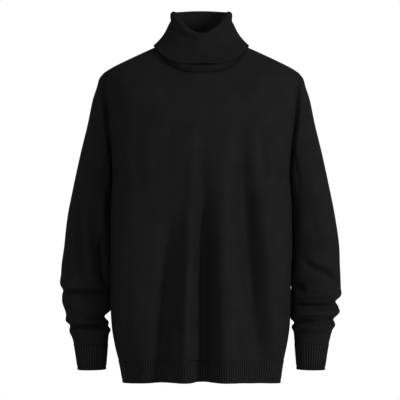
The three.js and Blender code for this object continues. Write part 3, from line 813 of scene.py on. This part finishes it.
def stitch_tree():
    """Lays one stitch after another along the lines of a piece, each turned along its line."""
    tree, given, out = geometry_tree(
        "linking_stitches",
        [
            ("Pitch", "NodeSocketFloat"),
            ("Length", "NodeSocketFloat"),
            ("Thread", "NodeSocketFloat"),
            ("Material", "NodeSocketMaterial"),
        ],
    )
    curve = add(tree, "GeometryNodeMeshToCurve", {"Mesh": given.outputs["Geometry"]})
    even = add(
        tree,
        "GeometryNodeResampleCurve",
        {"Curve": curve.outputs[0], "Length": given.outputs["Pitch"]},
        mode="LENGTH",
    )
    tangent = add(tree, "GeometryNodeInputTangent")
    turned = add(tree, "FunctionNodeAlignRotationToVector", {"Vector": tangent.outputs[0]}, axis="X")
    size = add(
        tree,
        "ShaderNodeCombineXYZ",
        {"X": given.outputs["Length"], "Y": given.outputs["Thread"], "Z": given.outputs["Thread"]},
    )
    stitch = add(tree, "GeometryNodeMeshUVSphere", {"Segments": 6, "Rings": 4, "Radius": 0.5})
    placed = add(
        tree,
        "GeometryNodeInstanceOnPoints",
        {
            "Points": even.outputs[0],
            "Instance": stitch.outputs[0],
            "Rotation": turned.outputs[0],
            "Scale": size.outputs[0],
        },
    )
    real = add(tree, "GeometryNodeRealizeInstances", {"Geometry": placed.outputs[0]})
    painted = add(
        tree,
        "GeometryNodeSetMaterial",
        {"Geometry": real.outputs[0], "Material": given.outputs["Material"]},
    )
    tree.links.new(painted.outputs[0], out.inputs[0])
    return tree


def made_plain(piece):
    """Turns a piece with its modifiers into a plain mesh."""
    graph = bpy.context.evaluated_depsgraph_get()
    mesh = bpy.data.meshes.new_from_object(
        piece.evaluated_get(graph), preserve_all_data_layers=True, depsgraph=graph
    )
    piece.modifiers.clear()
    piece.data = mesh
    mesh.polygons.foreach_set("use_smooth", np.ones(len(mesh.polygons), bool))
    return piece


def thickened(piece, thickness, offset):
    wall = piece.modifiers.new("wall", "SOLIDIFY")
    wall.thickness = thickness * MM
    wall.offset = offset
    wall.use_even_offset = False
    return piece


def linear(colour):
    """An sRGB hex colour as linear red, green, blue and alpha."""
    channels = [int(colour[k : k + 2], 16) / 255 for k in (1, 3, 5)]
    turned = [c / 12.92 if c <= 0.04045 else ((c + 0.055) / 1.055) ** 2.4 for c in channels]
    return (*turned, 1)


def knit_material(name, deep, raised, wale_mm, course_mm, stitch_depth, nap_depth, is_rib=False):
    """Merino yarn, machine knitted: matt, with almost no gloss, a faint nap that catches light at
    the edges, and rows of V-shaped stitches. Wool's IOR is 1.55. A real fine knit has stitches
    1.4 mm wide and 1 mm high, and they are drawn coarser here, or they would not show at all."""
    material = bpy.data.materials.new(name)
    material.use_nodes = True
    tree = material.node_tree
    tree.nodes.clear()
    uv = add(tree, "ShaderNodeUVMap", uv_map="cloth_mm")
    split = add(tree, "ShaderNodeSeparateXYZ", {0: uv.outputs[0]})
    wale = add(tree, "ShaderNodeMath", {0: split.outputs["X"], 1: wale_mm}, operation="DIVIDE")
    inside = add(tree, "ShaderNodeMath", {0: wale.outputs[0]}, operation="FRACT")
    centred = add(tree, "ShaderNodeMath", {0: inside.outputs[0], 1: 0.5}, operation="SUBTRACT")
    leg = add(tree, "ShaderNodeMath", {0: centred.outputs[0]}, operation="ABSOLUTE")
    course = add(tree, "ShaderNodeMath", {0: split.outputs["Y"], 1: course_mm}, operation="DIVIDE")
    slanted = add(
        tree,
        "ShaderNodeMath",
        {0: leg.outputs[0], 1: 1.3, 2: course.outputs[0]},
        operation="MULTIPLY_ADD",
    )
    phase = add(tree, "ShaderNodeMath", {0: slanted.outputs[0], 1: 2 * math.pi}, operation="MULTIPLY")
    courses = add(tree, "ShaderNodeMath", {0: phase.outputs[0]}, operation="COSINE")
    off_leg = add(tree, "ShaderNodeMath", {0: leg.outputs[0], 1: 0.25}, operation="SUBTRACT")
    from_leg = add(tree, "ShaderNodeMath", {0: off_leg.outputs[0]}, operation="ABSOLUTE")
    yarn = add(tree, "ShaderNodeMath", {0: from_leg.outputs[0], 1: -4.0, 2: 1.0}, operation="MULTIPLY_ADD")
    height = add(
        tree,
        "ShaderNodeMath",
        {0: courses.outputs[0], 1: 0.35, 2: yarn.outputs[0]},
        operation="MULTIPLY_ADD",
    )
    place = add(tree, "ShaderNodeTexCoord")
    nap = add(
        tree,
        "ShaderNodeTexNoise",
        {"Vector": place.outputs["Object"], "Scale": 900.0, "Detail": 3.0, "Roughness": 0.65},
    )
    cloud = add(
        tree,
        "ShaderNodeTexNoise",
        {"Vector": place.outputs["Object"], "Scale": 26.0, "Detail": 2.0, "Roughness": 0.5},
    )
    # Painted shade: the colour is darker between the legs of each stitch, where the yarn dips. The cloud
    # noise adds a random unevenness of tone on top.
    shade = add(tree, "ShaderNodeMath", {0: yarn.outputs[0], 1: 0.45, 2: 0.1}, operation="MULTIPLY_ADD")
    tone_and_stitch_shade = add(
        tree,
        "ShaderNodeMath",
        {0: cloud.outputs["Fac"], 1: 0.5, 2: shade.outputs[0]},
        operation="MULTIPLY_ADD",
    )
    lightness = tone_and_stitch_shade.outputs[0]
    # On the ribs, painted shade: the grooves between the wales are coloured darker, down to the deep colour,
    # by the wale's height.
    if is_rib:
        wale_height = add(tree, "ShaderNodeAttribute", attribute_name="wale_height")
        groove_shade = add(
            tree,
            "ShaderNodeMapRange",
            {"Value": wale_height.outputs["Fac"], "From Min": -0.6, "From Max": 0.3, "To Min": -0.5},
        )
        lightness = add(
            tree, "ShaderNodeMath", {0: tone_and_stitch_shade.outputs[0], 1: groove_shade.outputs[0]}, operation="MULTIPLY"
        ).outputs[0]
    colour = add(
        tree,
        "ShaderNodeMix",
        {"Factor": lightness, 6: linear(deep), 7: linear(raised)},
        data_type="RGBA",
    )
    stitches = add(
        tree,
        "ShaderNodeBump",
        {"Height": height.outputs[0], "Distance": stitch_depth * MM, "Strength": 0.6},
    )
    fuzzy = add(
        tree,
        "ShaderNodeBump",
        {
            "Height": nap.outputs["Fac"],
            "Distance": nap_depth * MM,
            "Strength": 0.5,
            "Normal": stitches.outputs[0],
        },
    )
    rough = add(
        tree,
        "ShaderNodeMapRange",
        {"Value": nap.outputs["Fac"], "To Min": 0.86, "To Max": 0.98},
    )
    shader = add(
        tree,
        "ShaderNodeBsdfPrincipled",
        {
            "Base Color": colour.outputs[2],
            "Roughness": rough.outputs[0],
            "Normal": fuzzy.outputs[0],
            "IOR": 1.55,
            "Specular IOR Level": 0.02,
            "Sheen Weight": 0.003,
            "Sheen Roughness": 0.5,
        },
    )
    end = add(tree, "ShaderNodeOutputMaterial")
    tree.links.new(shader.outputs[0], end.inputs["Surface"])
    return material


def plain_material(name, colour, roughness, gloss):
    """An even, matt material: spun wool thread a little lighter than the cloth, or paper."""
    material = bpy.data.materials.new(name)
    material.use_nodes = True
    shader = material.node_tree.nodes["Principled BSDF"]
    shader.inputs["Base Color"].default_value = linear(colour)
    shader.inputs["Roughness"].default_value = roughness
    shader.inputs["Specular IOR Level"].default_value = gloss
    return material


def seam_object(name, lines):
    """Lines along seams, as edges that the stitches follow."""
    points, edges = [], []
    for line, closed in lines:
        start = len(points)
        points.extend((line * MM).tolist())
        edges.extend((start + k, start + k + 1) for k in range(len(line) - 1))
        if closed:
            edges.append((start + len(line) - 1, start))
    mesh = bpy.data.meshes.new(name)
    mesh.from_pydata(points, edges, [])
    made = bpy.data.objects.new(name, mesh)
    bpy.context.scene.collection.objects.link(made)
    return made


def studio():
    """A pale floor, an even white surround, the main light from the wearer's left and a weaker
    one from the front."""
    bpy.ops.mesh.primitive_circle_add(
        vertices=96, radius=FLOOR_RADIUS * MM, fill_type="NGON", location=(0, 0, FLOOR_Z * MM)
    )
    floor = bpy.context.object
    floor.name = "floor"
    floor.data.materials.append(plain_material("pale_paper_floor", "#e9e9e8", 0.9, 0.3))
    world = bpy.data.worlds.new("white_surround")
    bpy.context.scene.world = world
    world.use_nodes = True
    surround = world.node_tree.nodes["Background"]
    surround.inputs["Color"].default_value = (1, 1, 1, 1)
    surround.inputs["Strength"].default_value = 1.0
    lamps = (
        ("key_light", (3.1, -2.3, 1.25), (0, 0, -0.32), 0.7, 285),
        ("fill_light", (-0.8, -3.35, 0.4), (-0.08, 0, -0.33), 0.9, 62),
    )
    for name, place, target, size, power in lamps:
        light = bpy.data.lights.new(name, "AREA")
        light.energy = power
        light.size = size
        lamp = bpy.data.objects.new(name, light)
        bpy.context.scene.collection.objects.link(lamp)
        lamp.location = place
        lamp.rotation_euler = (Vector(target) - Vector(place)).to_track_quat("-Z", "Y").to_euler()


def camera():
    """A level camera straight in front, at the middle of the picture's height."""
    data = bpy.data.cameras.new("camera")
    eye = bpy.data.objects.new("camera", data)
    bpy.context.scene.collection.objects.link(eye)
    eye.location = (EYE_X * MM, -EYE_DISTANCE * MM, EYE_Z * MM)
    eye.rotation_euler = (QUARTER, 0, 0)
    data.sensor_width = SENSOR
    data.lens = SENSOR * EYE_DISTANCE / (PHOTO_MM_BY_PIXEL * PHOTO_SIDE_PIXELS)
    data.clip_end = 50
    bpy.context.scene.camera = eye


camera()
studio()
bpy.context.scene.view_settings.view_transform = "Standard"
bpy.context.scene.view_settings.look = "None"
bpy.context.scene.view_settings.gamma = CONTRAST_GAMMA

jersey = knit_material("merino_jersey_plain_knit", "#0f0f0f", "#1f1f20", 2.4, 1.8, 0.5, 0.4)
rib = knit_material(
    "merino_rib_one_by_one", "#0f0f0f", "#212122", 2.4, 2.0, 0.4, 0.4, is_rib=True
)
# A lighter copy of the rib for the hem and the cuffs: painted light, which makes up for the shade in their
# grooves.
lightened_rib = knit_material(
    "merino_rib_lightened", "#0f0f0f", "#262627", 2.4, 2.0, 0.4, 0.4, is_rib=True
)
thread = plain_material("wool_linking_thread", "#1d1d1e", 0.95, 0.02)
ribs = rib_tree()
stitches = stitch_tree()


def cloth_piece(name, points, closed, facing, material):
    piece = grid_object(name, points, closed, facing)
    piece.data.materials.append(material)
    return made_plain(thickened(piece, WALL - 0.2, -1))


def ribbed_piece(name, points, count, thickness, offset, material, ribs_from=-1.0):
    piece = grid_object(name, points, True)
    piece.data.materials.append(material)
    values = {"Ribs": float(count), "Rise": RIB_RISE * MM, "From": ribs_from, "Material": material}
    use_tree(piece, ribs, values)
    return made_plain(thickened(piece, thickness, offset))


def sew(name, lines):
    piece = seam_object(name, lines)
    values = {"Pitch": 2.4 * MM, "Length": 2.1 * MM, "Thread": 1.1 * MM, "Material": thread}
    use_tree(piece, stitches, values)
    return made_plain(piece)


front_grid, front_facing = panel_points("front")
back_grid, back_facing = panel_points("back")
front = cloth_piece("front_panel", front_grid, False, front_facing, jersey)
back = cloth_piece("back_panel", back_grid, False, back_facing, jersey)

around = np.linspace(0, 2 * math.pi, SLEEVE_COLUMNS, endpoint=False)
loose_rows = (CUFF_AT - LOOSE_AT) * ROWS_BY_LOOSE_STATION
sleeve_stations = sorted(
    {
        0.03,
        0.06,
        0.1,
        *np.linspace(0, LOOSE_AT, LOOSE_AT * ROWS_BY_STATION + 1),
        *np.linspace(LOOSE_AT, CUFF_AT, loose_rows + 1),
    }
)
sleeves, cuffs, armholes, cuff_tops = {}, {}, {}, {}
for word, sign, folds, creases in (
    ("right", -1, RIGHT_SLEEVE_FOLDS, RIGHT_SLEEVE_CREASES),
    ("left", 1, LEFT_SLEEVE_FOLDS, LEFT_SLEEVE_CREASES),
):
    grid = sleeve_points(sign, folds, creases, sleeve_stations, around)
    grid[..., 1] += armhole_dip(distance_along(grid, 0), around) * np.sign(np.sin(around))
    normals = surface_normals(grid, True, grid.mean(axis=1, keepdims=True))
    grid = grid + normals * seam_dip(near_seams(grid, columns_too=False))[..., None]
    sleeves[word] = cloth_piece(word + "_sleeve_cloth", grid, True, normals, jersey)
    cuff_angles = np.linspace(0, 2 * math.pi, CUFF_RIBS * POINTS_BY_RIB, endpoint=False)
    cuff_stations = CUFF_AT + 0.004 + 0.996 * band_shares(16, CUFF_HEIGHT)
    cuff_grid = sleeve_points(sign, folds, creases, cuff_stations, cuff_angles)
    cuff_out = surface_normals(cuff_grid, True, cuff_grid.mean(axis=1, keepdims=True))
    cuff_run = distance_along(cuff_grid, 0)
    cuff_grid = cuff_grid + cuff_out * cast_on_edge(cuff_run[-1] - cuff_run)[..., None]
    cuffs[word] = ribbed_piece(
        word + "_cuff_rib", cuff_grid, CUFF_RIBS, WALL - 0.2, -1, lightened_rib
    )
    cuff_tops[word] = cuff_grid[0]
    armholes[word] = grid[0]
hem_grid = hem_points()
hem = ribbed_piece("hem_band_rib", hem_grid, HEM_RIBS, WALL - 0.2, -1, lightened_rib)
collar = ribbed_piece(
    "roll_collar_rib", collar_rows(), COLLAR_RIBS, WALL - 0.4, 0, rib, ribs_from=COLLAR_RIBS_FROM
)

neck_line = np.concatenate([front_grid[-1], back_grid[-1][::-1]])
armpit_row = len(shares(SIDE_ROWS)) - 1
tip_row = armpit_row + ARM_ROWS
side_lines = [front_grid[: armpit_row + 1, column] for column in (0, -1)]
shoulder_lines = [front_grid[tip_row:, column] for column in (0, -1)]
seam_lines = {
    "neck_linking": [(neck_line, True)],
    "hem_linking": [(hem_grid[0][::POINTS_BY_RIB], True)],
    "side_and_shoulder_linking": [(line, False) for line in side_lines + shoulder_lines],
}
for word in ("right", "left"):
    seam_lines[word + "_armhole_linking"] = [(armholes[word], True)]
    seam_lines[word + "_cuff_linking"] = [(cuff_tops[word][::POINTS_BY_RIB], True)]
sewing = {name: sew(name, lines) for name, lines in seam_lines.items()}

for piece, node, slot in (
    (front, "front", "jersey"),
    (back, "back", "jersey"),
    (sleeves["right"], "right_sleeve", "jersey"),
    (sleeves["left"], "left_sleeve", "jersey"),
    (collar, "collar", "rib"),
    (hem, "hem_rib", "rib"),
    (cuffs["right"], "right_cuff", "rib"),
    (cuffs["left"], "left_cuff", "rib"),
):
    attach(piece, "root")
    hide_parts(node)
for piece in sewing.values():
    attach(piece, "root")
